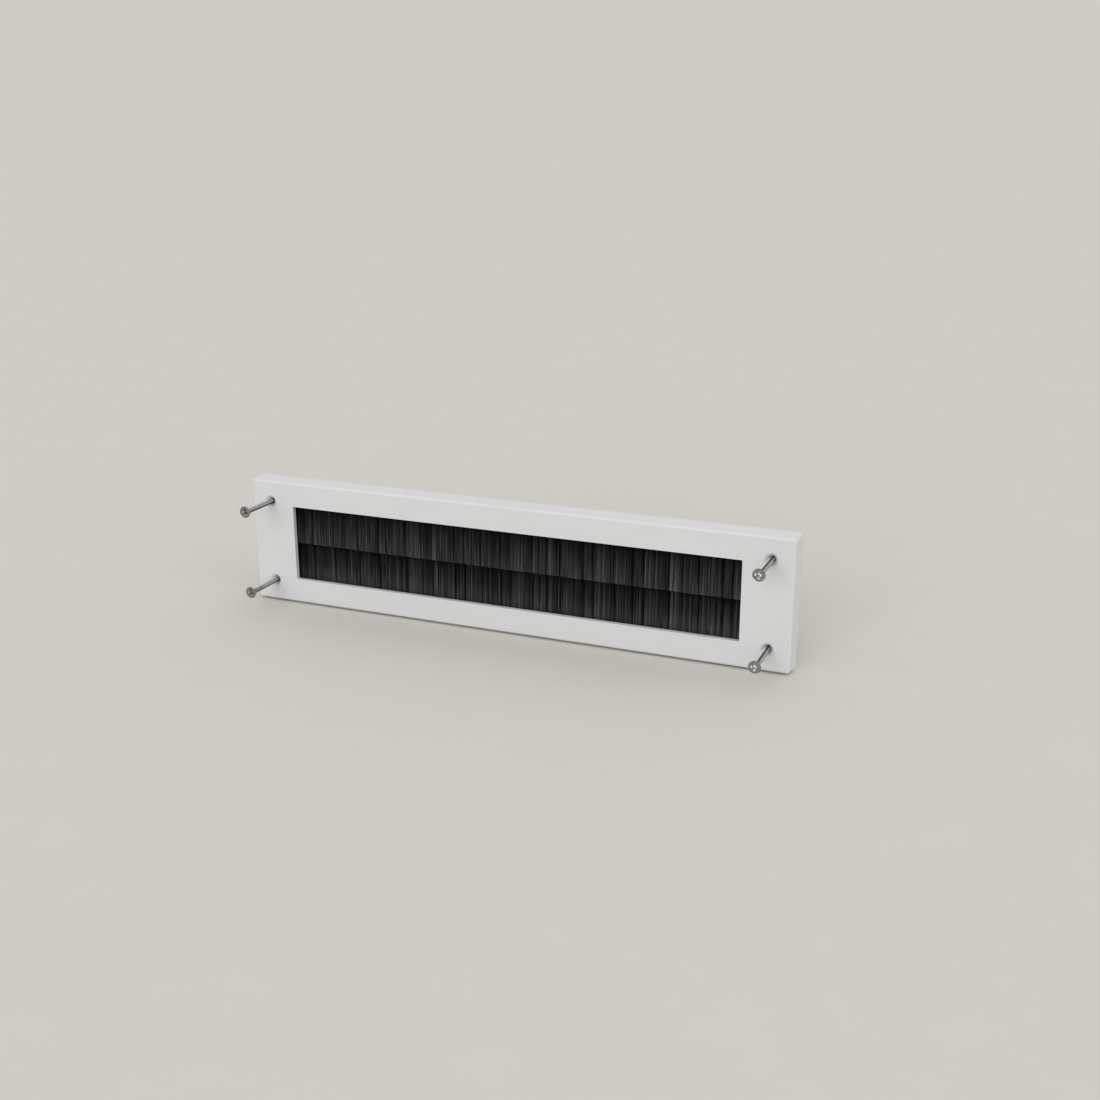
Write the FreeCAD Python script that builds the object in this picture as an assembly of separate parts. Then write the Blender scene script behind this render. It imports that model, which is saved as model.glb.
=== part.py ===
import FreeCAD
import Part
import math
import os

# Letterbox draught excluder: a moulded frame with two brush strips that meet across its slot.
# X runs along the length, Z is up and the front faces -Y. The origin is the centre of the back
# rim, which lies on the mounting surface at y = 0. All sizes are in millimetres.

# Frame moulding
FRAME_LENGTH = 338.0
FRAME_HEIGHT = 78.0
FRAME_DEPTH = 10.0
FRAME_CORNER_RADIUS = 3.0
FRAME_DRAFT = 1.25
FRAME_EDGE_RADIUS = 1.4
FRONT_WALL = 2.9
SIDE_WALL = 2.2
SLOT_MARGIN_X = 29.5
SLOT_MARGIN_Z = 16.0
SLOT_CORNER_RADIUS = 0.6
SLOT_EDGE_CHAMFER = 0.15

# Screw holes and the bosses behind them
HOLE_INSET_X = 14.0
HOLE_INSET_Z = 13.8
HOLE_CLEARANCE = 0.25
COUNTERSINK_CLEARANCE = 0.1
BOSS_WALL = 2.5
BOSS_WEB_THICKNESS = 1.4
BOSS_WEB_SETBACK = 1.5

# Moulded fittings that hold the brush strips
HOOKS_PER_STRIP = 4
HOOK_WIDTH = 9.0
HOOK_THICKNESS = 1.4
HOOK_OVERHANG = 0.9
HOOK_NIB_HEIGHT = 1.0
HOOK_RIB_THICKNESS = 1.2
HOOK_RIB_HEIGHT = 3.5
LEDGE_HEIGHT = 0.5
LEDGE_SETBACK = 0.8
END_STOP_THICKNESS = 1.5
END_STOP_BOSS_GAP = 1.5
STRIP_CLEARANCE = 0.1

# Folded steel channel of each strip, and the wire inside it
CHANNEL_SETBACK = 2.0
CHANNEL_HEIGHT = 5.0
CHANNEL_DEPTH = 4.8
CHANNEL_SHEET = 0.6
CHANNEL_BEND_RADIUS = 1.1
CHANNEL_CRIMP = 0.35
CHANNEL_CRIMP_HEIGHT = 1.2
WIRE_DIAMETER = 1.2
WIRE_CLEARANCE = 0.1

# Bristle rows: tufts with fine ridges, parted by narrow gaps
BRISTLE_CLEARANCE = 0.1
BRISTLE_END_SETBACK = 1.0
BRISTLE_THICKNESS = 2.2
BRISTLE_ROOT_DROP = 0.4
UPPER_TIP_Z = -0.4
TIP_OVERLAP = 3.0
ROW_GAP = 0.25
TUFT_PITCH = 10.0
TUFT_WANDER = 2.4
TUFT_WANDER_STEP = 2.4
TUFT_GAP = 0.35
RIDGE_PITCH = 1.8
RIDGE_DEPTH = 0.35
TIP_UNEVENNESS = 0.2

# Countersunk cross-recess wood screws, started in the holes and left standing out
SCREW_LENGTH = 40.0
SCREW_STANDOUT = 27.0
SCREW_HEAD_DIAMETER = 7.0
SCREW_HEAD_LAND = 0.35
SCREW_SHANK_DIAMETER = 3.4
SCREW_THREAD_DIAMETER = 3.5
SCREW_THREAD_LENGTH = 6.0
SCREW_POINT_LENGTH = 5.0
SCREW_POINT_DIAMETER = 0.3
RECESS_SPAN = 4.2
RECESS_WIDTH = 1.1
RECESS_DEPTH = 1.9
RECESS_FLOOR_SPAN = 1.5
RECESS_FLOOR_WIDTH = 0.7

# Places worked out from the sizes above
SLOT_HALF_X = FRAME_LENGTH / 2 - SLOT_MARGIN_X
SLOT_HALF_Z = FRAME_HEIGHT / 2 - SLOT_MARGIN_Z
HOLE_X = FRAME_LENGTH / 2 - HOLE_INSET_X
HOLE_Z = FRAME_HEIGHT / 2 - HOLE_INSET_Z
HOLE_RADIUS = SCREW_THREAD_DIAMETER / 2 + HOLE_CLEARANCE
COUNTERSINK_RADIUS = SCREW_HEAD_DIAMETER / 2 + COUNTERSINK_CLEARANCE
BOSS_RADIUS = HOLE_RADIUS + BOSS_WALL
FRONT_Y = -FRAME_DEPTH
WALL_BACK_Y = FRONT_Y + FRONT_WALL
STRIP_HALF_X = HOLE_X - BOSS_RADIUS - END_STOP_BOSS_GAP - END_STOP_THICKNESS - STRIP_CLEARANCE
CHANNEL_FRONT_Y = WALL_BACK_Y + STRIP_CLEARANCE
CHANNEL_BACK_Y = CHANNEL_FRONT_Y + CHANNEL_DEPTH
CHANNEL_MIDDLE_Y = (CHANNEL_FRONT_Y + CHANNEL_BACK_Y) / 2
CHANNEL_MOUTH_Z = SLOT_HALF_Z + CHANNEL_SETBACK
CHANNEL_TOP_Z = CHANNEL_MOUTH_Z + CHANNEL_HEIGHT
BRISTLE_HALF_X = STRIP_HALF_X - BRISTLE_END_SETBACK
ROOT_WIDTH = CHANNEL_DEPTH - 2 * (CHANNEL_SHEET + BRISTLE_CLEARANCE)
ROOT_TOP_Z = CHANNEL_TOP_Z - CHANNEL_SHEET - BRISTLE_CLEARANCE
ROOT_FOLD_RADIUS = CHANNEL_BEND_RADIUS
NECK_WIDTH = CHANNEL_DEPTH - 2 * (CHANNEL_SHEET + CHANNEL_CRIMP + BRISTLE_CLEARANCE)
WIRE_Z = ROOT_TOP_Z - ROOT_WIDTH / 2

# How far moulded fittings start inside the front wall, so that they are one piece with it
EMBED = 0.6


def at(x, y, z):
    return FreeCAD.Vector(x, y, z)


def block(low, high):
    """A box between two opposite corners."""
    size = [b - a for a, b in zip(low, high)]
    return Part.makeBox(*size, at(*low))


def mirrored(shape):
    """The shape turned over about the middle of the slot, for the lower strip."""
    return shape.mirror(at(0, 0, 0), at(0, 0, 1))


def rounded_rectangle(half_x, half_z, radius, y):
    """A closed wire at depth y, with its corners rounded."""
    inner_x = half_x - radius
    inner_z = half_z - radius
    corners = [
        (inner_x, inner_z, 0),
        (-inner_x, inner_z, 90),
        (-inner_x, -inner_z, 180),
        (inner_x, -inner_z, 270),
    ]
    edges = []
    for x, z, start in corners:
        arc = []
        for angle in (start, start + 45, start + 90):
            turn = math.radians(angle)
            arc.append(at(x + radius * math.cos(turn), y, z + radius * math.sin(turn)))
        if edges:
            edges.append(Part.LineSegment(edges[-1].EndPoint, arc[0]))
        edges.append(Part.Arc(*arc))
    edges.append(Part.LineSegment(edges[-1].EndPoint, edges[0].StartPoint))
    return Part.Wire([edge.toShape() for edge in edges])


def edges_at(shape, y, half_x, half_z):
    """The edges of a shape that lie at depth y, inside the given half sizes."""
    found = []
    for edge in shape.Edges:
        box = edge.BoundBox
        flat = abs(box.YMin - y) < 1e-4 and abs(box.YMax - y) < 1e-4
        within = max(abs(box.XMin), abs(box.XMax)) < half_x and max(abs(box.ZMin), abs(box.ZMax)) < half_z
        if flat and within:
            found.append(edge)
    return found


def drafted_shell():
    """The outer form with its leaning sides and rounded front edge, hollow from the back, with the slot."""
    half_x = FRAME_LENGTH / 2
    half_z = FRAME_HEIGHT / 2
    back = rounded_rectangle(half_x, half_z, FRAME_CORNER_RADIUS, 0)
    front = rounded_rectangle(
        half_x - FRAME_DRAFT, half_z - FRAME_DRAFT, FRAME_CORNER_RADIUS - FRAME_DRAFT, FRONT_Y
    )
    body = Part.makeLoft([back, front], True, True)
    body = body.makeFillet(FRAME_EDGE_RADIUS, edges_at(body, FRONT_Y, half_x, half_z))

    inner_radius = max(FRAME_CORNER_RADIUS - SIDE_WALL, SLOT_CORNER_RADIUS)
    deep_inset = SIDE_WALL + FRAME_DRAFT * (FRAME_DEPTH - FRONT_WALL) / FRAME_DEPTH
    mouth = rounded_rectangle(half_x - SIDE_WALL, half_z - SIDE_WALL, inner_radius, 0)
    floor = rounded_rectangle(half_x - deep_inset, half_z - deep_inset, inner_radius, WALL_BACK_Y)
    body = body.cut(Part.makeLoft([mouth, floor], True, True))

    slot = rounded_rectangle(SLOT_HALF_X, SLOT_HALF_Z, SLOT_CORNER_RADIUS, FRONT_Y)
    body = body.cut(Part.Face(slot).extrude(at(0, FRONT_WALL, 0)))
    lip = edges_at(body, FRONT_Y, SLOT_HALF_X + SLOT_EDGE_CHAMFER, SLOT_HALF_Z + SLOT_EDGE_CHAMFER)
    return body.makeChamfer(SLOT_EDGE_CHAMFER, lip)


def boss(x, z):
    """A hollow post behind one screw hole, with a web to each of the two nearest walls."""
    post = Part.makeCylinder(BOSS_RADIUS, -WALL_BACK_Y + EMBED, at(x, WALL_BACK_Y - EMBED, z), at(0, 1, 0))
    wall_x = math.copysign(FRAME_LENGTH / 2 - FRAME_DRAFT - SIDE_WALL / 2, x)
    wall_z = math.copysign(FRAME_HEIGHT / 2 - FRAME_DRAFT - SIDE_WALL / 2, z)
    half = BOSS_WEB_THICKNESS / 2
    front = WALL_BACK_Y - EMBED
    back = -BOSS_WEB_SETBACK
    web_x = block((min(x, wall_x), front, z - half), (max(x, wall_x), back, z + half))
    web_z = block((x - half, front, min(z, wall_z)), (x + half, back, max(z, wall_z)))
    return [post, web_x, web_z]


def screw_hole(x, z):
    """A clearance hole through the front wall and boss, with a 90 degree countersink."""
    hole = Part.makeCylinder(HOLE_RADIUS, FRAME_DEPTH, at(x, FRONT_Y, z), at(0, 1, 0))
    sink_depth = COUNTERSINK_RADIUS - HOLE_RADIUS
    sink = Part.makeCone(COUNTERSINK_RADIUS, HOLE_RADIUS, sink_depth, at(x, FRONT_Y, z), at(0, 1, 0))
    return hole.fuse(sink)


def snap_hook(x):
    """An arm over the upper channel's top with a sloped nib behind it, and a rib that stiffens the arm."""
    arm_z = CHANNEL_TOP_Z + STRIP_CLEARANCE
    arm_top = arm_z + HOOK_THICKNESS
    catch_y = CHANNEL_BACK_Y + STRIP_CLEARANCE
    end_y = catch_y + HOOK_NIB_HEIGHT
    front_y = WALL_BACK_Y - EMBED
    left = x - HOOK_WIDTH / 2
    outline = [
        (front_y, arm_z),
        (catch_y, arm_z),
        (catch_y, arm_z - HOOK_OVERHANG),
        (end_y, arm_z),
        (end_y, arm_top),
        (front_y, arm_top),
    ]
    points = [at(left, y, z) for y, z in outline]
    arm = Part.Face(Part.makePolygon(points + points[:1])).extrude(at(HOOK_WIDTH, 0, 0))
    wall_z = FRAME_HEIGHT / 2 - FRAME_DRAFT - SIDE_WALL / 2
    half = HOOK_RIB_THICKNESS / 2
    rib = block((x - half, front_y, arm_z), (x + half, WALL_BACK_Y + HOOK_RIB_HEIGHT, wall_z))
    return [arm, rib]


def strip_seat():
    """What holds the upper strip on the wall: hooks, the ledge below the channel and a stop at each end."""
    pitch = 2 * STRIP_HALF_X / HOOKS_PER_STRIP
    pieces = []
    for n in range(HOOKS_PER_STRIP):
        pieces += snap_hook(-STRIP_HALF_X + pitch * (n + 0.5))
    front_y = WALL_BACK_Y - EMBED
    ledge_low = SLOT_HALF_Z + LEDGE_SETBACK
    ledge_high = CHANNEL_MOUTH_Z - STRIP_CLEARANCE
    pieces.append(
        block((-STRIP_HALF_X, front_y, ledge_low), (STRIP_HALF_X, WALL_BACK_Y + LEDGE_HEIGHT, ledge_high))
    )
    near = STRIP_HALF_X + STRIP_CLEARANCE
    far = near + END_STOP_THICKNESS
    for low, high in ((near, far), (-far, -near)):
        pieces.append(block((low, front_y, CHANNEL_MOUTH_Z), (high, CHANNEL_BACK_Y, CHANNEL_TOP_Z)))
    return pieces


def frame():
    corners = [(x, z) for x in (-HOLE_X, HOLE_X) for z in (-HOLE_Z, HOLE_Z)]
    seat = strip_seat()
    added = seat + [mirrored(piece) for piece in seat]
    for x, z in corners:
        added += boss(x, z)
    body = drafted_shell().multiFuse(added).removeSplitter()
    for x, z in corners:
        body = body.cut(screw_hole(x, z))
    return body.Solids[0]


def channel():
    """The upper channel: a sheet folded to a U that opens towards the slot, its lips crimped inwards."""
    front = CHANNEL_FRONT_Y
    back = CHANNEL_BACK_Y
    sheet = CHANNEL_SHEET
    bend = CHANNEL_BEND_RADIUS
    knee_z = CHANNEL_MOUTH_Z + CHANNEL_CRIMP_HEIGHT

    def arch(inset):
        """One side of the sheet from lip to lip, a given distance inside the outer side."""
        radius = bend - inset
        top = CHANNEL_TOP_Z - inset
        slant = radius * (1 - math.sqrt(0.5))
        x = -STRIP_HALF_X
        lip_in = front + inset + CHANNEL_CRIMP
        lip_out = back - inset - CHANNEL_CRIMP
        knee_in = at(x, front + inset, knee_z)
        knee_out = at(x, back - inset, knee_z)
        rise_in = at(x, front + inset, top - radius)
        rise_out = at(x, back - inset, top - radius)
        web_in = at(x, front + inset + radius, top)
        web_out = at(x, back - inset - radius, top)
        return [
            Part.LineSegment(at(x, lip_in, CHANNEL_MOUTH_Z), knee_in),
            Part.LineSegment(knee_in, rise_in),
            Part.Arc(rise_in, at(x, front + inset + slant, top - slant), web_in),
            Part.LineSegment(web_in, web_out),
            Part.Arc(web_out, at(x, back - inset - slant, top - slant), rise_out),
            Part.LineSegment(rise_out, knee_out),
            Part.LineSegment(knee_out, at(x, lip_out, CHANNEL_MOUTH_Z)),
        ]

    outer = arch(0)
    inner = arch(sheet)
    lips = [
        Part.LineSegment(outer[-1].EndPoint, inner[-1].EndPoint),
        Part.LineSegment(inner[0].StartPoint, outer[0].StartPoint),
    ]
    edges = [edge.toShape() for edge in outer + inner + lips]
    section = Part.Wire(Part.__sortEdges__(edges))
    return Part.Face(section).extrude(at(2 * STRIP_HALF_X, 0, 0))


def core_wire():
    """The upper strip's wire, as long as the bristle pack that is folded over it."""
    return Part.makeCylinder(
        WIRE_DIAMETER / 2, 2 * BRISTLE_HALF_X, at(-BRISTLE_HALF_X, CHANNEL_MIDDLE_Y, WIRE_Z), at(1, 0, 0)
    )


def bristle_root():
    """The folded end of the upper bristles: it fills the channel, narrows at the lips and holds the wire."""
    x = -BRISTLE_HALF_X
    wide = ROOT_WIDTH / 2
    neck = NECK_WIDTH / 2
    fold = ROOT_FOLD_RADIUS
    slant = fold * (1 - math.sqrt(0.5))
    low_z = CHANNEL_MOUTH_Z - BRISTLE_ROOT_DROP
    knee_z = CHANNEL_MOUTH_Z + CHANNEL_CRIMP_HEIGHT

    def point(y, z):
        return at(x, CHANNEL_MIDDLE_Y + y, z)

    top_z = ROOT_TOP_Z
    rise_z = top_z - fold
    edges = [
        Part.LineSegment(point(-neck, low_z), point(-neck, CHANNEL_MOUTH_Z)),
        Part.LineSegment(point(-neck, CHANNEL_MOUTH_Z), point(-wide, knee_z)),
        Part.LineSegment(point(-wide, knee_z), point(-wide, rise_z)),
        Part.Arc(point(-wide, rise_z), point(slant - wide, top_z - slant), point(fold - wide, top_z)),
        Part.LineSegment(point(fold - wide, top_z), point(wide - fold, top_z)),
        Part.Arc(point(wide - fold, top_z), point(wide - slant, top_z - slant), point(wide, rise_z)),
        Part.LineSegment(point(wide, rise_z), point(wide, knee_z)),
        Part.LineSegment(point(wide, knee_z), point(neck, CHANNEL_MOUTH_Z)),
        Part.LineSegment(point(neck, CHANNEL_MOUTH_Z), point(neck, low_z)),
        Part.LineSegment(point(neck, low_z), point(-neck, low_z)),
    ]
    section = Part.Wire([edge.toShape() for edge in edges])
    pack = Part.Face(section).extrude(at(2 * BRISTLE_HALF_X, 0, 0))
    bore = Part.makeCylinder(
        WIRE_DIAMETER / 2 + WIRE_CLEARANCE,
        2 * BRISTLE_HALF_X,
        at(-BRISTLE_HALF_X, CHANNEL_MIDDLE_Y, WIRE_Z),
        at(1, 0, 0),
    )
    return pack.cut(bore)


def tuft_bounds():
    """Where one tuft ends and the next begins, unevenly spaced and shared by both rows."""
    count = round(2 * BRISTLE_HALF_X / TUFT_PITCH)
    pitch = 2 * BRISTLE_HALF_X / count
    inner = [pitch * n + TUFT_WANDER * math.sin(TUFT_WANDER_STEP * n) for n in range(1, count)]
    return [-BRISTLE_HALF_X] + [x - BRISTLE_HALF_X for x in inner] + [BRISTLE_HALF_X]


def tuft(left, right, tip_z, lean):
    """Filaments side by side: a ridged section carried from the root to the tips, leaning along Y."""
    start_z = CHANNEL_MOUTH_Z
    ridges = max(2, round((right - left) / RIDGE_PITCH))
    step = (right - left) / (2 * ridges)
    crest = BRISTLE_THICKNESS / 2
    valley = crest - RIDGE_DEPTH
    side = [(left + step * n, crest if n % 2 else valley) for n in range(2 * ridges + 1)]
    front = [at(x, CHANNEL_MIDDLE_Y - y, start_z) for x, y in side]
    back = [at(x, CHANNEL_MIDDLE_Y + y, start_z) for x, y in reversed(side)]
    section = Part.makePolygon(front + back + front[:1])
    return Part.Face(section).extrude(at(0, lean, tip_z - start_z))


def bristles(tip_z, lean):
    """A bristle row as the upper strip carries it: the folded root with its tufts."""
    bounds = tuft_bounds()
    tufts = []
    for n, (left, right) in enumerate(zip(bounds, bounds[1:])):
        uneven = TIP_UNEVENNESS * math.sin(TUFT_WANDER_STEP * n * n)
        half_gap = TUFT_GAP / 2
        tufts.append(tuft(left + half_gap, right - half_gap, tip_z + uneven, lean))
    return bristle_root().multiFuse(tufts).removeSplitter().Solids[0]


def screw():
    """One wood screw along +Y with the top of its head at the origin: land, cone, shank, thread and point."""
    head = SCREW_HEAD_DIAMETER / 2
    shank = SCREW_SHANK_DIAMETER / 2
    thread = SCREW_THREAD_DIAMETER / 2
    point_y = SCREW_LENGTH - SCREW_POINT_LENGTH
    thread_y = point_y - SCREW_THREAD_LENGTH
    outline = [
        (0, 0),
        (head, 0),
        (head, SCREW_HEAD_LAND),
        (shank, SCREW_HEAD_LAND + head - shank),
        (shank, thread_y),
        (thread, thread_y + abs(thread - shank)),
        (thread, point_y),
        (SCREW_POINT_DIAMETER / 2, SCREW_LENGTH),
        (0, SCREW_LENGTH),
    ]
    points = [at(r, y, 0) for r, y in outline]
    body = Part.Face(Part.makePolygon(points + points[:1])).revolve(at(0, 0, 0), at(0, 1, 0), 360)

    def recess_arm(turn):
        """One of the two crossing wedges of the recess, narrower at its floor."""
        mouth = (0, RECESS_SPAN / 2, RECESS_WIDTH / 2)
        floor = (RECESS_DEPTH, RECESS_FLOOR_SPAN / 2, RECESS_FLOOR_WIDTH / 2)
        wires = []
        for y, half_span, half_width in (mouth, floor):
            corners = [
                at(-half_span, y, -half_width),
                at(half_span, y, -half_width),
                at(half_span, y, half_width),
                at(-half_span, y, half_width),
            ]
            wires.append(Part.makePolygon(corners + corners[:1]))
        wedge = Part.makeLoft(wires, True, True)
        wedge.rotate(at(0, 0, 0), at(0, 1, 0), turn)
        return wedge

    return body.cut([recess_arm(0), recess_arm(90)])


def fixing_screws():
    placed = []
    for x in (-HOLE_X, HOLE_X):
        for z in (-HOLE_Z, HOLE_Z):
            placed.append(screw().translated(at(x, FRONT_Y - SCREW_STANDOUT, z)))
    return Part.Compound(placed)


# The upper row leans forwards and the lower row backwards by the same amount, so that their tips pass.
ROW_LEAN = (BRISTLE_THICKNESS + ROW_GAP) / 2 * (CHANNEL_MOUTH_Z - UPPER_TIP_Z) / CHANNEL_MOUTH_Z
LOWER_TIP_REACH = -(UPPER_TIP_Z + TIP_OVERLAP)

nodes = {
    "frame": frame(),
    "upper_brush_channel": channel(),
    "lower_brush_channel": mirrored(channel()),
    "upper_core_wire": core_wire(),
    "lower_core_wire": mirrored(core_wire()),
    "upper_bristles": bristles(UPPER_TIP_Z, -ROW_LEAN),
    "lower_bristles": mirrored(bristles(LOWER_TIP_REACH, ROW_LEAN)),
    "fixing_screws": fixing_screws(),
}

os.makedirs("parts", exist_ok=True)
for name, shape in nodes.items():
    shape.exportStep(f"parts/{name}.step")
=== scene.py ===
import math
import bpy
import numpy as np
from mathutils import Matrix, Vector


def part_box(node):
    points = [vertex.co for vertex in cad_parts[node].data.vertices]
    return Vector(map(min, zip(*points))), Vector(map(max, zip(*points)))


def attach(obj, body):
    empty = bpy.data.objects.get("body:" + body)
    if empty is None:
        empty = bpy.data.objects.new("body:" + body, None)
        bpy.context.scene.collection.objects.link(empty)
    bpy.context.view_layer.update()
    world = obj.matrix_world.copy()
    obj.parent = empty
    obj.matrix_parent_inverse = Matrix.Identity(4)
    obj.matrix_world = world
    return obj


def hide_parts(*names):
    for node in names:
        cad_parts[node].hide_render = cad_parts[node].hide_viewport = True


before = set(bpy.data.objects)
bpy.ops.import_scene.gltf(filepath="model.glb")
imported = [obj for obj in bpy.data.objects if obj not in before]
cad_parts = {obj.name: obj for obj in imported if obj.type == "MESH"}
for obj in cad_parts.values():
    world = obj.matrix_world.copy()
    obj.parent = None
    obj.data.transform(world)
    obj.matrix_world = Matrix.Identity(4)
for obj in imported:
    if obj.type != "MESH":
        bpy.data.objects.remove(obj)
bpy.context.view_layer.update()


# Moulded frame: one white ABS moulding, a shallow tray with the long slot through its front wall.
# The steel tool was spark eroded to a fine satin, so the face has a close grain and faint flow marks.
class Finish:
    """One value on a material's node sheet. Operators between values, or with numbers, add Math nodes."""

    def __init__(self, sheet, socket=None):
        self.sheet = sheet
        self.socket = socket

    def node(self, kind, settings=None, sockets=None, out=0):
        """Adds a node: its settings are set first, then each socket's number or link. Gives one output."""
        made = self.sheet.nodes.new(kind)
        for name, value in (settings or {}).items():
            setattr(made, name, value)
        for name, value in (sockets or {}).items():
            if isinstance(value, Finish):
                self.sheet.links.new(value.socket, made.inputs[name])
            else:
                made.inputs[name].default_value = value
        return Finish(self.sheet, made.outputs[out])

    def maths(self, operation, first, second):
        return self.node("ShaderNodeMath", {"operation": operation}, {0: first, 1: second})

    def __add__(self, other):
        return self.maths("ADD", self, other)

    def __sub__(self, other):
        return self.maths("SUBTRACT", self, other)

    def __rsub__(self, other):
        return self.maths("SUBTRACT", other, self)

    def __mul__(self, other):
        return self.maths("MULTIPLY", self, other)

    __radd__ = __add__
    __rmul__ = __mul__

    def between(self, low, high):
        """The colour this far from the low colour to the high one."""
        return self.node("ShaderNodeMix", {"data_type": "RGBA"}, {0: self, 6: low, 7: high}, out=2)

    def into(self, shader, socket):
        self.sheet.links.new(self.socket, shader.inputs[socket])


def new_finish(name, **even):
    """A material with one Principled shader. Sockets that are the same all over get their number here."""
    material = bpy.data.materials.new(name)
    material.use_nodes = True
    shader = material.node_tree.nodes["Principled BSDF"]
    for socket, value in even.items():
        shader.inputs[socket.replace("_", " ")].default_value = value
    return material, shader, Finish(material.node_tree)


def coat(node, material):
    """Puts a material on a CAD node as it stands."""
    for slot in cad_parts[node].material_slots:
        slot.material = material


white_moulding, shader, sheet = new_finish("white_moulding", IOR=1.53)
WHITE_THIN = (0.642, 0.656, 0.669, 1)
WHITE_THICK = (0.672, 0.687, 0.701, 1)
FRAME_ROUGHNESS = 0.34
ROUGH_BY_FLOW = 0.06
ROUGH_BY_GRAIN = 0.12
place = sheet.node("ShaderNodeTexCoord", out="Object")
along_flow = sheet.node("ShaderNodeMapping", None, {"Vector": place, "Scale": (0.25, 1, 1)})
flow = sheet.node("ShaderNodeTexNoise", None, {"Vector": along_flow, "Scale": 70.0, "Detail": 3.0})
grain = sheet.node("ShaderNodeTexNoise", None, {"Vector": place, "Scale": 2400.0, "Detail": 2.0})
flow.between(WHITE_THIN, WHITE_THICK).into(shader, "Base Color")
(FRAME_ROUGHNESS + ROUGH_BY_FLOW * flow + ROUGH_BY_GRAIN * grain).into(shader, "Roughness")
pits = {"Strength": 0.35, "Distance": 0.00002, "Height": grain}
sheet.node("ShaderNodeBump", None, pits).into(shader, "Normal")
coat("frame", white_moulding)

# Brush channels: 0.6 mm galvanised strip folded to a U, snapped behind the slot under the frame's hooks.
# Hot-dip zinc freezes in flat crystals some millimetres wide, each with its own grey and gloss.
galvanised, shader, sheet = new_finish("galvanised_sheet", Metallic=1.0)
ZINC_DULL = (0.40, 0.42, 0.44, 1)
ZINC_BRIGHT = (0.66, 0.68, 0.70, 1)
CRYSTAL_SHARE = 0.65
MIST_SHARE = 0.35
ZINC_ROUGHNESS = 0.30
ROUGH_BY_CRYSTAL = 0.16
ROUGH_BY_MIST = 0.14
place = sheet.node("ShaderNodeTexCoord", out="Object")
crystal = sheet.node("ShaderNodeTexVoronoi", None, {"Vector": place, "Scale": 260.0}, out="Color")
shade = sheet.node("ShaderNodeSeparateColor", None, {"Color": crystal})
mist = sheet.node("ShaderNodeTexNoise", None, {"Vector": place, "Scale": 900.0, "Detail": 4.0})
(CRYSTAL_SHARE * shade + MIST_SHARE * mist).between(ZINC_DULL, ZINC_BRIGHT).into(shader, "Base Color")
(ZINC_ROUGHNESS + ROUGH_BY_CRYSTAL * shade + ROUGH_BY_MIST * mist).into(shader, "Roughness")
rough_zinc = {"Strength": 0.25, "Distance": 0.00003, "Height": mist}
sheet.node("ShaderNodeBump", None, rough_zinc).into(shader, "Normal")
coat("upper_brush_channel", galvanised)
coat("lower_brush_channel", galvanised)

# Core wires: 1.2 mm drawn steel wire laid in the fold of each bristle pack before the channel is crimped.
# The drawing die leaves fine lines along the wire.
drawn_wire, shader, sheet = new_finish("steel_wire", Metallic=1.0)
WIRE_DARK = (0.28, 0.28, 0.29, 1)
WIRE_LIGHT = (0.46, 0.46, 0.47, 1)
WIRE_ROUGHNESS = 0.28
ROUGH_BY_LINES = 0.2
place = sheet.node("ShaderNodeTexCoord", out="Object")
along_wire = sheet.node("ShaderNodeMapping", None, {"Vector": place, "Scale": (0.02, 1, 1)})
lines = sheet.node("ShaderNodeTexNoise", None, {"Vector": along_wire, "Scale": 6000.0, "Detail": 2.0})
lines.between(WIRE_DARK, WIRE_LIGHT).into(shader, "Base Color")
(WIRE_ROUGHNESS + ROUGH_BY_LINES * lines).into(shader, "Roughness")
coat("upper_core_wire", drawn_wire)
coat("lower_core_wire", drawn_wire)

# Bristle rows: black nylon filaments, folded over the wire and gripped by the channel's lips.
# They stand in uneven tufts, cling together in narrow locks with thin partings between, and are trimmed
# straight. The upper row's tips hang in front of the lower row's.
BRISTLE_MAP = "OFBake"
PACK_THICKNESS = 0.0022
TIP_UNEVENNESS = 0.0002
TRIM_UNEVENNESS = 0.00006
TUFT_PITCH = 0.010
TUFT_WANDER = 0.0024
TUFT_WANDER_STEP = 2.4
GRIPPED_LENGTH = 0.0009
FILAMENTS = 13500
CORE_EVERY = 6
FILAMENT_RADIUS = 0.000095
FILAMENT_SIZES = (0.85, 1.1)
FILAMENT_STEPS = np.array([0.0, 0.5, 1.0])
FILAMENT_TAPER = np.array([1.0, 1.0, 0.9])
GROOVE_HALF = 0.00015
LOCK_SEED = 5
LOCK_NARROW = 0.0005
LOCK_WIDE = 0.0019
PARTING_SHARE = 0.4
LOCK_PINCH = 0.12
LOOSE_SPREAD = 0.00012
STRAY_SHARE = 0.01
STRAY_SPREAD = 0.0004
ROOT_SPREAD = 0.5
BOW_SPREAD = 0.0002
CUT_SPREAD = 0.00005
LOCK_TONE = 0.55
PARTING_TONE = -0.1
LOCK_TONE_SPREAD = 0.45
PAIR_TONES = (0.45, 1.25)
TUFT_SLOPE = 0.25
BASE_TONE = 0.23
LOCK_SHARE = 0.36
FADE_SHARE = 0.1
PANEL_SHARE = 0.22
FILAMENT_SHARE = 0.28
# Painted shade in the bristle tone: beside the grooves between tufts, in the middle of the pack and at the
# ends of the slot.
GROOVE_PAINTED_SHADE = 0.3
GROOVE_SHADE_REACH = 0.0006
CORE_PAINTED_SHADE = 0.7
SLOT_HALF = 0.1395
END_PAINTED_SHADE = 0.5
LEFT_SHADE_REACH = 0.0045
RIGHT_SHADE_REACH = 0.0015
LOCK_DRIFT = 0.12
CHART_EDGE = 0.02
CHART_SPREAD = 0.005


def tuft_bounds(half):
    """Tuft n ends at n pitches plus a wander of 2.4 mm times the sine of 2.4 n, as in the CAD rows."""
    count = round(2 * half / TUFT_PITCH)
    n = np.arange(1, count)
    inner = 2 * half / count * n + TUFT_WANDER * np.sin(TUFT_WANDER_STEP * n) - half
    return np.concatenate([[-half], inner, [half]])


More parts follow.
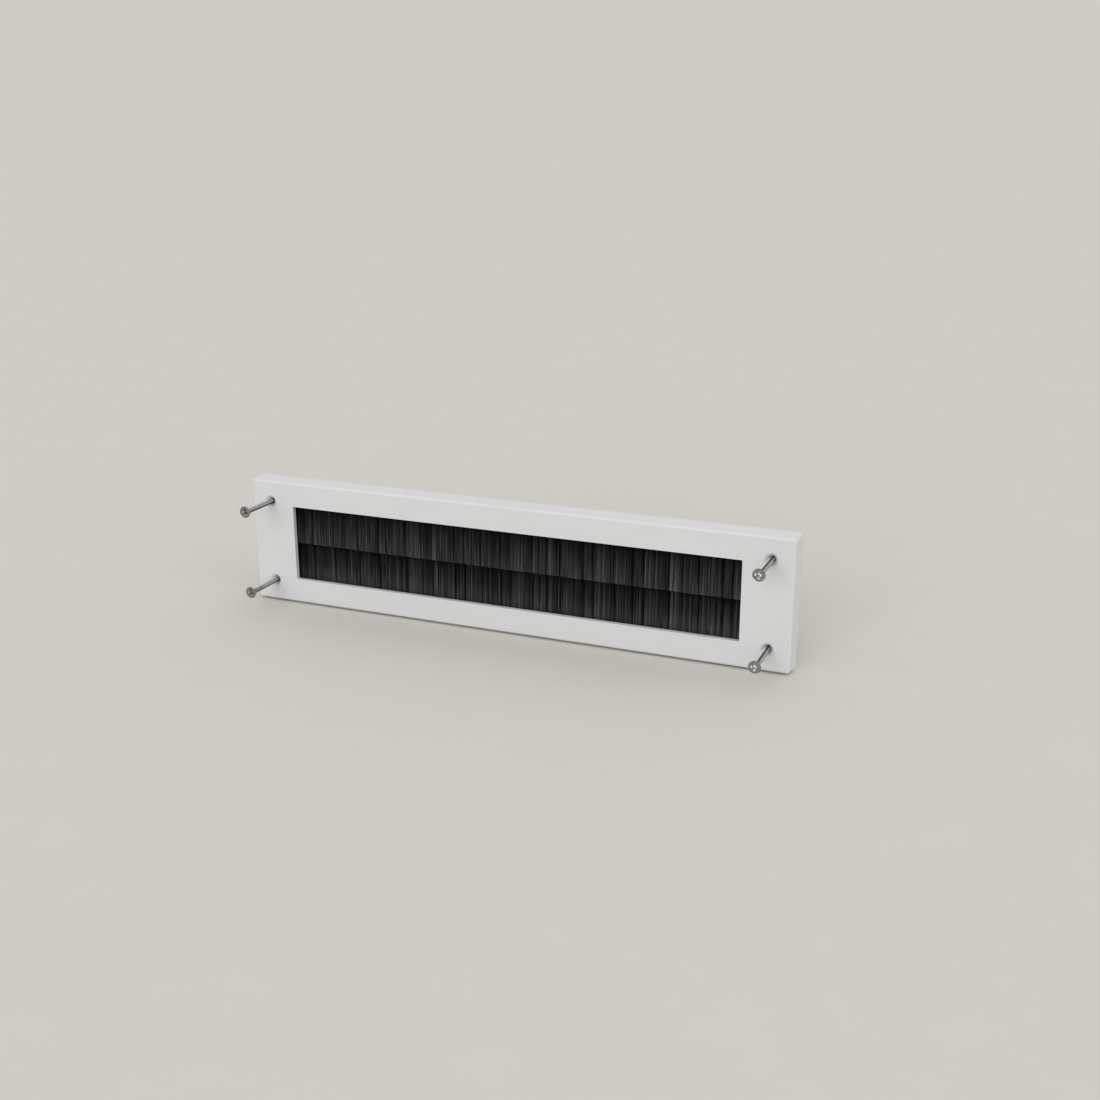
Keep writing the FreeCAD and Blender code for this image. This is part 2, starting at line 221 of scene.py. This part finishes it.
def prism_faces(count, rings):
    """Triangles of three-sided prisms of so many rings each: their sides, root ends and trimmed tips."""
    ring, corner = np.meshgrid(np.arange(rings - 1), np.arange(3), indexing="ij")
    here = 3 * ring + corner
    beside = 3 * ring + (corner + 1) % 3
    sides = np.stack([here, beside, beside + 3, here, beside + 3, here + 3], -1).reshape(-1, 3)
    root = np.array([[0, 2, 1]])
    tip = 3 * (rings - 1) + np.array([[0, 1, 2]])
    one = np.concatenate([sides, root, tip])
    return (3 * rings * np.arange(count)[:, None, None] + one).reshape(-1, 3)


def new_piece(name, points, faces, material, sharp_angle=None):
    """A smooth-shaded mesh piece from arrays of points and faces, with edges past an angle left sharp."""
    mesh = bpy.data.meshes.new(name)
    mesh.from_pydata(points, [], faces)
    mesh.shade_smooth()
    if sharp_angle:
        mesh.set_sharp_from_angle(angle=math.radians(sharp_angle))
    mesh.materials.append(material)
    piece = bpy.data.objects.new(name, mesh)
    bpy.context.scene.collection.objects.link(piece)
    return piece


def bristle_row(name, node, channel, hang, painted_shade_at, seed):
    """Filament i starts at a seeded place in the pack and runs with a slight bow to the trimmed tip line.
    Away from the middle of the pack it moves sideways: towards the middle of its tuft, which opens grooves
    between tufts at the front and back, towards the middle of its lock, and a little at random.

    Its tone is a sum of shares: the tone of its lock or parting, a fade across that lock, a panel of two
    tufts that darkens to the right, and its own. On top of this it gets painted shade: darker beside a
    groove, in the middle of the pack and near the ends of the slot. The map holds this tone with its
    painted shade as U.
    V is painted shade along the row at each ring, from root to tip, with a drift of each lock's own: the
    upper row darker up under the slot's top edge, the lower row darker at its tips under the upper row's
    tips."""
    draw = np.random.default_rng(seed)
    lock_draw = np.random.default_rng(LOCK_SEED)
    low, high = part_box(node)
    channel_low, channel_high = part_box(channel)
    half = high.x
    mouth = channel_low.z if hang else channel_high.z
    away = 1 if hang else -1
    root_z = mouth + away * GRIPPED_LENGTH
    tip_z = low.z + TIP_UNEVENNESS if hang else high.z - TIP_UNEVENNESS
    root_y = (channel_low.y + channel_high.y) / 2
    tip_y = low.y + PACK_THICKNESS / 2 if hang else high.y - PACK_THICKNESS / 2

    # Where each filament stands along the row and in the pack, and its tuft.
    bounds = tuft_bounds(half)
    number = np.arange(FILAMENTS)
    x = half * (2 * (number + draw.random(FILAMENTS)) / FILAMENTS - 1)
    in_core = number % CORE_EVERY == 0
    depth = np.where(in_core, 0.5, np.sin(np.pi / 2 * draw.random(FILAMENTS)) ** 2)
    outside = np.abs(2 * depth - 1)
    tuft = np.clip(np.searchsorted(bounds, x, "right") - 1, 0, len(bounds) - 2)
    left = bounds[tuft]
    width = bounds[tuft + 1] - left
    across = (x - left) / width
    squeeze = GROOVE_HALF * (1 - 2 * across)

    # Its lock or parting, and how far its tip moves sideways.
    lock_width = lock_draw.uniform(LOCK_NARROW, LOCK_WIDE, int(2 * half / LOCK_NARROW))
    parting = np.arange(len(lock_width)) % 2 == 1
    lock_width[parting] *= PARTING_SHARE
    lock_start = np.cumsum(lock_width) - lock_width - half
    lock = np.searchsorted(lock_start, x, "right") - 1
    in_lock = x - lock_start[lock]
    pinch = LOCK_PINCH * (lock_width[lock] / 2 - in_lock) * ~parting[lock]
    loose = draw.normal(0, LOOSE_SPREAD, FILAMENTS)
    stray = (draw.random(FILAMENTS) < STRAY_SHARE) * draw.normal(0, STRAY_SPREAD, FILAMENTS)
    x_tip = x + outside * (squeeze + pinch + loose + stray)
    x_tip = np.clip(x_tip, -half + FILAMENT_RADIUS, half - FILAMENT_RADIUS)

    # Its path from root to tip, with a three-sided ring at each step.
    step = FILAMENT_STEPS
    bow = (outside * draw.normal(0, BOW_SPREAD, FILAMENTS))[:, None] * step * (1 - step)
    run_x = x[:, None] + (x_tip - x)[:, None] * (ROOT_SPREAD + (1 - ROOT_SPREAD) * step) + bow
    in_pack = (depth - 0.5) * (PACK_THICKNESS - 2 * FILAMENT_RADIUS)
    run_y = root_y + in_pack[:, None] + (tip_y - root_y) * step
    uneven = TRIM_UNEVENNESS * np.sin(TUFT_WANDER_STEP * tuft**2) + draw.normal(0, CUT_SPREAD, FILAMENTS)
    run_z = root_z + (tip_z + uneven - root_z)[:, None] * step
    path = np.stack([run_x, run_y, run_z], -1)
    turn = draw.random(FILAMENTS)[:, None, None] * 2 * np.pi - away * 2 * np.pi / 3 * np.arange(3)
    size = draw.uniform(*FILAMENT_SIZES, FILAMENTS)[:, None, None]
    radius = FILAMENT_RADIUS * size * FILAMENT_TAPER[:, None]
    rim = np.stack([radius * np.cos(turn), radius * np.sin(turn), 0 * radius * turn], -1)
    points = (path[:, :, None, :] + rim).reshape(-1, 3)
    faces = prism_faces(FILAMENTS, len(step))
    row = new_piece(name, points, faces, black_filament)
    faces_each = len(faces) // FILAMENTS
    is_side = np.arange(faces_each) < faces_each - 2
    row.data.polygons.foreach_set("use_smooth", np.tile(is_side, FILAMENTS))

    # Its tone with painted shade, and the map that carries it with the painted shade along the row.
    own_tone = LOCK_TONE_SPREAD * lock_draw.random(len(lock_width))
    lock_tone = np.where(parting, PARTING_TONE, LOCK_TONE) + own_tone
    fade = 1 - in_lock / lock_width[lock]
    pair_start = bounds[0:-1:2]
    pair_end = np.append(bounds[2::2], half)[: len(pair_start)]
    pair = tuft // 2
    pair_tone = lock_draw.uniform(*PAIR_TONES, len(pair_start))
    pair_width = (pair_end - pair_start)[pair]
    panel = pair_tone[pair] * (pair_end[pair] - x) / pair_width + TUFT_SLOPE * (1 - across)
    tone = BASE_TONE + LOCK_SHARE * lock_tone[lock] + FADE_SHARE * fade + PANEL_SHARE * panel
    tone += FILAMENT_SHARE * draw.random(FILAMENTS)
    # Painted shade: darker beside a groove between tufts, in the middle of the pack and near the ends of
    # the slot.
    clear_of_groove_shade = np.clip(np.minimum(across, 1 - across) * width / GROOVE_SHADE_REACH, 0, 1)
    tone *= (GROOVE_PAINTED_SHADE + (1 - GROOVE_PAINTED_SHADE) * clear_of_groove_shade) * (CORE_PAINTED_SHADE + (1 - CORE_PAINTED_SHADE) * outside)
    tone *= np.clip(END_PAINTED_SHADE + (1 - END_PAINTED_SHADE) * (x + SLOT_HALF) / LEFT_SHADE_REACH, END_PAINTED_SHADE, 1)
    tone *= np.clip(END_PAINTED_SHADE + (1 - END_PAINTED_SHADE) * (SLOT_HALF - x) / RIGHT_SHADE_REACH, END_PAINTED_SHADE, 1)
    round_filament = np.tile([-CHART_SPREAD, 0, CHART_SPREAD], FILAMENTS * len(step))
    tone_at = np.repeat(tone, 3 * len(step)) * (1 - 2 * CHART_EDGE) + CHART_EDGE + round_filament
    # V: painted shade along the row at each ring, root to tip, with a drift of each lock's own.
    drift = lock_draw.uniform(-LOCK_DRIFT, LOCK_DRIFT, (len(lock_width), len(step)))
    pale = np.repeat((painted_shade_at + drift[lock]).ravel(), 3)
    chart = np.stack([np.clip(tone_at, 0, 1), pale], -1)
    row.data.uv_layers.new(name=BRISTLE_MAP).uv.foreach_set("vector", chart[faces.ravel()].ravel())
    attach(row, "root")
    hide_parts(node)


dull_nylon = {"Roughness": 0.55, "IOR": 1.49, "Specular_IOR_Level": 0.05}
black_filament, shader, sheet = new_finish("black_filament", **dull_nylon)
BLACK_DEEP = (0.002, 0.002, 0.002, 1)
BLACK_PALEST = (0.243, 0.249, 0.259, 1)
# Painted shade along each row at root, middle and tip: the upper row darker up under the slot's top edge,
# the lower row darker at its tips under the upper row's tips.
UPPER_PAINTED_SHADE = (0.285, 0.47, 0.74)
LOWER_PAINTED_SHADE = (0.84, 0.475, 0.295)
LEVEL_BY_TONE = 0.58
LEVEL_START = 0.41
UPPER_SEED = 11
LOWER_SEED = 12
chart = sheet.node("ShaderNodeUVMap", {"uv_map": BRISTLE_MAP})
tone = sheet.node("ShaderNodeSeparateXYZ", None, {"Vector": chart}, out="X")
pale = sheet.node("ShaderNodeSeparateXYZ", None, {"Vector": chart}, out="Y")
# The level is painted shade along the row plus tone, cubed, between black and the palest grey.
shade_and_tone_level = pale + LEVEL_BY_TONE * tone - LEVEL_START
(shade_and_tone_level * shade_and_tone_level * shade_and_tone_level).between(BLACK_DEEP, BLACK_PALEST).into(shader, "Base Color")

bristle_row("upper_bristle_row", "upper_bristles", "upper_brush_channel", True, UPPER_PAINTED_SHADE, UPPER_SEED)
bristle_row("lower_bristle_row", "lower_bristles", "lower_brush_channel", False, LOWER_PAINTED_SHADE, LOWER_SEED)

# Folds of the bristles: inside each channel the filaments are bent double over the wire.
# Only the ends of these packs can be seen, past the ends of the channel.
FOLD_WIDTH = 0.0034
FOLD_NECK = 0.0027
FOLD_RADIUS = 0.0011
FOLD_KNEE = 0.0012
FOLD_TOP_GAP = 0.0007
FOLD_END_GAP = 0.0001
FOLD_ARC_STEPS = 7
FOLD_SHARP = 40


def bristle_fold(name, node, channel, hang):
    """A closed section, neck, knees and two quarter circles at the top, carried straight along X."""
    low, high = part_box(node)
    channel_low, channel_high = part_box(channel)
    away = 1 if hang else -1
    mouth = channel_low.z if hang else channel_high.z
    top = channel_high.z - FOLD_TOP_GAP if hang else channel_low.z + FOLD_TOP_GAP
    middle = (channel_low.y + channel_high.y) / 2
    angle = np.linspace(0, np.pi / 2, FOLD_ARC_STEPS)
    arc_y = FOLD_WIDTH / 2 - FOLD_RADIUS * (1 - np.cos(angle))
    arc_z = abs(top - mouth) - FOLD_RADIUS * (1 - np.sin(angle))
    side_y = np.concatenate([[FOLD_NECK / 2, FOLD_WIDTH / 2], arc_y])
    side_z = np.concatenate([[0.0, FOLD_KNEE], arc_z])
    section_y = middle + np.concatenate([side_y, -side_y[::-1]])
    section_z = mouth + away * np.concatenate([side_z, side_z[::-1]])
    count = len(section_y)
    ends = np.array([low.x + FOLD_END_GAP, high.x - FOLD_END_GAP])
    points = np.stack(np.broadcast_arrays(ends[:, None], section_y, section_z), -1).reshape(-1, 3)
    here = np.arange(count)
    beside = (here + 1) % count
    walls = np.stack([here, beside, beside + count, here + count], -1)
    faces = walls.tolist() + [here[::-1].tolist(), (here + count).tolist()]
    if not hang:
        faces = [face[::-1] for face in faces]
    fold = new_piece(name, points, faces, packed_filament, FOLD_SHARP)
    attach(fold, "root")


packed_filament, shader, sheet = new_finish("packed_filament", Roughness=0.5, IOR=1.49)
PACKED_DARK = (0.004, 0.004, 0.004, 1)
PACKED_LIGHT = (0.045, 0.046, 0.048, 1)
place = sheet.node("ShaderNodeTexCoord", out="Object")
strands = sheet.node("ShaderNodeMapping", None, {"Vector": place, "Scale": (1, 0.08, 0.08)})
packing = sheet.node("ShaderNodeTexNoise", None, {"Vector": strands, "Scale": 5000.0, "Detail": 1.0})
packing.between(PACKED_DARK, PACKED_LIGHT).into(shader, "Base Color")
ribs = {"Strength": 0.6, "Distance": 0.0001, "Height": packing}
sheet.node("ShaderNodeBump", None, ribs).into(shader, "Normal")

bristle_fold("upper_bristle_fold", "upper_bristles", "upper_brush_channel", True)
bristle_fold("lower_bristle_fold", "lower_bristles", "lower_brush_channel", False)

# Fixing screws: four 3.5 x 40 mm countersunk cross-recess wood screws of steel, cold headed, with a rolled
# thread and bright zinc plating. They are only started and stand out of the face. Their thread sits in the
# holes, and their points reach out at the back.
SCREW_LENGTH = 0.040
HEAD_RADIUS = 0.0035
HEAD_EDGE = 0.00008
HEAD_LAND = 0.00035
SHANK_RADIUS = 0.0017
THREAD_RADIUS = 0.00175
THREAD_CORE = 0.00122
THREAD_PITCH = 0.00135
THREAD_LENGTH = 0.011
POINT_LENGTH = 0.005
POINT_RADIUS = 0.00015
THREAD_ROWS = 100
THREAD_FLANK = 0.32
VALLEY_POINT = 0.8
NECK_STEPS = 6
NECK_LENGTH = 0.0006
NECK_RISE = 0.0003
SHANK_RINGS = [0.022, 0.015, 0.008]
SCREW_SHARP = 35
RECESS_MOUTH = (0.0021, 0.00055)
RECESS_FLOOR = (0.00075, 0.00035)
RECESS_DEPTH = 0.0019
RECESS_LIP = 0.00006
ARM_START = 1.1
EDGE_COLUMNS = 4
THREAD_POLISH = 0.45
CONE_POLISH = 0.38
FACE_POLISH = 0.3
# Painted highlight in the cross recess, brighter on the right screws, a little less on its floor, and
# painted shade on its upper arm.
UPPER_ARM_PAINTED_SHADE = 0.33
RECESS_FLOOR_SHARE = 0.8
RECESS_HIGHLIGHT_LEFT = 0.6
RECESS_HIGHLIGHT_RIGHT = 1.0
# Painted reflection down the shank: bright and dark streaks by degrees round it, one table for the left
# screws and one for the right.
PAINTED_REFLECTION_LEFT = (
    [-60, -24, -10, 8, 18, 34, 63, 80, 105, 140, 200],
    [0.0, 0.0, 0.05, 0.58, 0.56, 0.3, 0.6, 0.85, 1.0, 0.9, 0.4],
)
PAINTED_REFLECTION_RIGHT = (
    [-40, -12, 8, 24, 38, 50, 58, 78, 86, 98, 150, 200],
    [0.1, 0.0, 0.3, 0.7, 0.6, 0.1, 0.0, 0.0, 0.3, 1.0, 1.0, 0.4],
)


def cross_outline(half_span, half_width):
    """The twelve corners of a cross in order, with evenly spaced points along each edge, as X and Z."""
    a = half_span
    b = half_width
    right_and_top = [(a, -b), (a, b), (b, b), (b, a), (-b, a), (-b, b)]
    left_and_bottom = [(-a, b), (-a, -b), (-b, -b), (-b, -a), (b, -a), (b, -b)]
    corners = np.array(right_and_top + left_and_bottom)
    share = np.arange(EDGE_COLUMNS)[:, None] / EDGE_COLUMNS
    step = np.roll(corners, -1, axis=0) - corners
    return (corners[:, None, :] + share * step[:, None, :]).reshape(-1, 2)


def screw_surface():
    """Rings from the point to the head along -Y, all with the columns of the recess outline. On the thread
    the radius is the core's plus a ridge, highest where Y over the pitch less the angle in turns is a half.
    The last rings are the edge of the head, the mouth of the recess and its floor."""
    mouth = cross_outline(*RECESS_MOUTH)
    floor = cross_outline(*RECESS_FLOOR)
    angle = np.arctan2(mouth[:, 1], mouth[:, 0])
    thread_y = np.linspace(SCREW_LENGTH, SCREW_LENGTH - THREAD_LENGTH, THREAD_ROWS)[:, None]
    phase = (thread_y / THREAD_PITCH - angle / (2 * np.pi)) % 1
    ridge = np.clip(1 - np.abs(phase - 0.5) / THREAD_FLANK, 0, 1)
    run_in = np.clip((thread_y - (SCREW_LENGTH - THREAD_LENGTH)) / THREAD_PITCH, 0, 1)
    point = np.clip((SCREW_LENGTH - thread_y) / POINT_LENGTH, 0, 1)
    crest = POINT_RADIUS + (THREAD_RADIUS - POINT_RADIUS) * point
    valley = POINT_RADIUS * VALLEY_POINT + (THREAD_CORE - POINT_RADIUS * VALLEY_POINT) * point
    threaded = valley + (crest - valley) * ridge
    thread_radius = SHANK_RADIUS + (threaded - SHANK_RADIUS) * run_in
    cone = HEAD_RADIUS - SHANK_RADIUS
    neck = np.linspace(0, 1, NECK_STEPS)
    neck_y = HEAD_LAND + cone + NECK_LENGTH * (1 - neck) ** 2 - NECK_RISE * neck
    neck_radius = SHANK_RADIUS + NECK_RISE * neck**2
    plain_y = np.concatenate([SHANK_RINGS, neck_y, [HEAD_LAND, HEAD_EDGE, 0.0]])
    edge_radius = [HEAD_RADIUS, HEAD_RADIUS, HEAD_RADIUS - HEAD_EDGE]
    plain_radius = np.concatenate([[SHANK_RADIUS] * len(SHANK_RINGS), neck_radius, edge_radius])
    plain = np.broadcast_to(plain_radius[:, None], (len(plain_y), len(angle)))
    radius = np.concatenate([thread_radius, plain])
    ring_y = np.concatenate([thread_y[:, 0], plain_y])[:, None]
    body = np.stack(np.broadcast_arrays(radius * np.cos(angle), ring_y, radius * np.sin(angle)), -1)
    lip = mouth * (1 + RECESS_LIP / RECESS_MOUTH[0])
    recess = [(lip, 0.0), (mouth, RECESS_LIP), (floor, RECESS_DEPTH)]
    rings = [np.stack([xz[:, 0], np.full(len(xz), y), xz[:, 1]], -1) for xz, y in recess]
    return np.concatenate([body, np.stack(rings)])


def screw_polish_and_reflection(surface, reflection_table, recess):
    """How bright the plating is at each point, with painted reflection. Bright and dark streaks run down
    the
    shank: a painted reflection, interpolated from degrees round it and the brightness there, with one table
    for the left screws and one for the right. The thread and the cone are even, the head's face is dull,
    and the recess carries a painted highlight, brighter on the right screws, but for its upper arm, which
    carries painted shade. The last five rings are the edge, rim and lip of the face, then the mouth and
    floor of the recess."""
    angle = np.arctan2(surface[..., 2], surface[..., 0])
    painted_streak = np.interp(np.degrees(angle), *reflection_table, period=360)
    y = surface[..., 1]
    polish_and_reflection = np.where(y > SCREW_LENGTH - THREAD_LENGTH, THREAD_POLISH, painted_streak)
    polish_and_reflection = np.where(y < HEAD_LAND + HEAD_RADIUS - SHANK_RADIUS, CONE_POLISH, polish_and_reflection)
    polish_and_reflection[-5:-2] = FACE_POLISH
    # Painted highlight in the recess and painted shade on its upper arm.
    upper_arm = surface[-3, :, 2] > RECESS_MOUTH[1] * ARM_START
    polish_and_reflection[-2] = np.where(upper_arm, UPPER_ARM_PAINTED_SHADE, recess)
    polish_and_reflection[-1] = RECESS_FLOOR_SHARE * recess
    return polish_and_reflection


bright_zinc, shader, sheet = new_finish("bright_zinc", Metallic=1.0)
PLATE_DARK = (0.035, 0.037, 0.041, 1)
PLATE_BRIGHT = (0.90, 0.905, 0.91, 1)
BLOOM_LEAST = 0.75
BLOOM_SHARE = 0.5
PLATE_ROUGHNESS = 0.18
ROUGH_BY_BLOOM = 0.1
ROUGH_BY_MATT = 0.1
place = sheet.node("ShaderNodeTexCoord", out="Object")
# The point attribute holds plating brightness with painted reflection on the shank and painted highlight
# and shade in the recess.
polish_and_reflection = sheet.node("ShaderNodeAttribute", {"attribute_name": "polish_and_reflection"}, out="Fac")
bloom = sheet.node("ShaderNodeTexNoise", None, {"Vector": place, "Scale": 420.0, "Detail": 3.0})
matt = sheet.node("ShaderNodeTexNoise", None, {"Vector": place, "Scale": 3000.0, "Detail": 2.0})
(polish_and_reflection * (BLOOM_LEAST + BLOOM_SHARE * bloom)).between(PLATE_DARK, PLATE_BRIGHT).into(shader, "Base Color")
(PLATE_ROUGHNESS + ROUGH_BY_BLOOM * bloom + ROUGH_BY_MATT * matt).into(shader, "Roughness")
plating = {"Strength": 0.15, "Distance": 0.00001, "Height": matt}
sheet.node("ShaderNodeBump", None, plating).into(shader, "Normal")

screws_low, screws_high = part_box("fixing_screws")
one_screw = screw_surface()
rings, columns = one_screw.shape[:2]
screw_x = screws_high.x - HEAD_RADIUS
screw_z = screws_high.z - HEAD_RADIUS
corner_places = [(x, screws_low.y, z) for x in (-screw_x, screw_x) for z in (-screw_z, screw_z)]
screw_places = np.array(corner_places)
screw_points = (screw_places[:, None, None, :] + one_screw).reshape(-1, 3)
ring, column = np.meshgrid(np.arange(rings - 1), np.arange(columns), indexing="ij")
here = columns * ring + column
beside = columns * ring + (column + 1) % columns
screw_quads = np.stack([here, beside, beside + columns, here + columns], -1).reshape(-1, 4)
first_point = rings * columns * np.arange(len(screw_places))
around = np.arange(columns)
screw_walls = (first_point[:, None, None] + screw_quads).reshape(-1, 4).tolist()
screw_tips = (first_point[:, None] + around[::-1]).tolist()
screw_floors = (first_point[:, None] + (rings - 1) * columns + around).tolist()
screw_faces = screw_walls + screw_tips + screw_floors
screws = new_piece("wood_screws", screw_points, screw_faces, bright_zinc, SCREW_SHARP)
# The left and right screws carry different painted reflections and recess highlights.
left_polish_and_reflection = screw_polish_and_reflection(one_screw, PAINTED_REFLECTION_LEFT, RECESS_HIGHLIGHT_LEFT).ravel()
right_polish_and_reflection = screw_polish_and_reflection(one_screw, PAINTED_REFLECTION_RIGHT, RECESS_HIGHLIGHT_RIGHT).ravel()
polish_and_reflection_at = np.concatenate([left_polish_and_reflection, left_polish_and_reflection, right_polish_and_reflection, right_polish_and_reflection])
screws.data.attributes.new("polish_and_reflection", "FLOAT", "POINT").data.foreach_set("value", polish_and_reflection_at)
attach(screws, "root")
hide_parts("fixing_screws")

# Studio floor: a wide sheet of pale matt paper under the lower edge of the frame.
# It only carries the picture and isn't part of the object.
FLOOR_HALF = 12.0
FLOOR_PALE = (0.642, 0.6235, 0.593, 1)
FLOOR_PALER = (0.662, 0.644, 0.614, 1)
floor_paint, shader, sheet = new_finish("studio_floor", Roughness=0.9, Specular_IOR_Level=0.0)
place = sheet.node("ShaderNodeTexCoord", out="Object")
paper = sheet.node("ShaderNodeTexNoise", None, {"Vector": place, "Scale": 40.0, "Detail": 4.0})
paper.between(FLOOR_PALE, FLOOR_PALER).into(shader, "Base Color")
floor_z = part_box("frame")[0].z
corners = FLOOR_HALF * np.array([(-1, -1), (1, -1), (1, 1), (-1, 1)])
floor_points = np.column_stack([corners, np.full(len(corners), floor_z)])
floor = new_piece("studio_floor", floor_points, [[0, 1, 2, 3]], floor_paint)

# Studio light: a pale surround that is brighter overhead, a broad soft lamp in front, above and a little
# left, and a weaker one far round to the right.
SURROUND_LOW = (0.624, 0.599, 0.557, 1)
SURROUND_HIGH = (0.865, 0.86, 0.848, 1)
world = bpy.data.worlds.new("surround")
world.use_nodes = True
sheet = Finish(world.node_tree)
direction = sheet.node("ShaderNodeTexCoord", out="Generated")
rise = sheet.node("ShaderNodeSeparateXYZ", None, {"Vector": direction}, out="Z")
smooth = {"interpolation_type": "SMOOTHSTEP"}
overhead = sheet.node("ShaderNodeMapRange", smooth, {"Value": rise, "From Min": 0.1})
overhead.between(SURROUND_LOW, SURROUND_HIGH).into(world.node_tree.nodes["Background"], "Color")
bpy.context.scene.world = world


def soft_lamp(name, azimuth, elevation, spread, strength):
    """A far lamp that shines from so many degrees right of the front and above the floor."""
    lamp = bpy.data.objects.new(name, bpy.data.lights.new(name, "SUN"))
    lamp.data.angle = math.radians(spread)
    lamp.data.energy = strength
    around = Matrix.Rotation(math.radians(azimuth), 4, "Z")
    lamp.matrix_world = around @ Matrix.Rotation(math.radians(90 - elevation), 4, "X")
    bpy.context.scene.collection.objects.link(lamp)


soft_lamp("front_lamp", azimuth=-6, elevation=21, spread=34, strength=0.95)
soft_lamp("side_lamp", azimuth=75, elevation=25, spread=50, strength=0.5)

# Camera at the photograph's viewing angle: right of the front and above it.
# Its place, turn and lens were fitted to the edges of the frame, the holes and the screw heads.
CAMERA_PLACE = (0.30069, -0.66358, 0.23909)
CAMERA_AZIMUTH = math.radians(22.547)
CAMERA_ELEVATION = math.radians(17.518)
CAMERA_ROLL = math.radians(-0.14)
CAMERA_LENS = 43.28
CAMERA_SENSOR = 36.0
camera = bpy.data.objects.new("camera", bpy.data.cameras.new("camera"))
camera.data.lens = CAMERA_LENS
camera.data.sensor_width = CAMERA_SENSOR
aim = Matrix.Rotation(CAMERA_AZIMUTH, 4, "Z") @ Matrix.Rotation(math.pi / 2 - CAMERA_ELEVATION, 4, "X")
camera.matrix_world = Matrix.Translation(CAMERA_PLACE) @ aim @ Matrix.Rotation(CAMERA_ROLL, 4, "Z")
bpy.context.scene.collection.objects.link(camera)
bpy.context.scene.camera = camera
bpy.context.scene.view_settings.view_transform = "Standard"
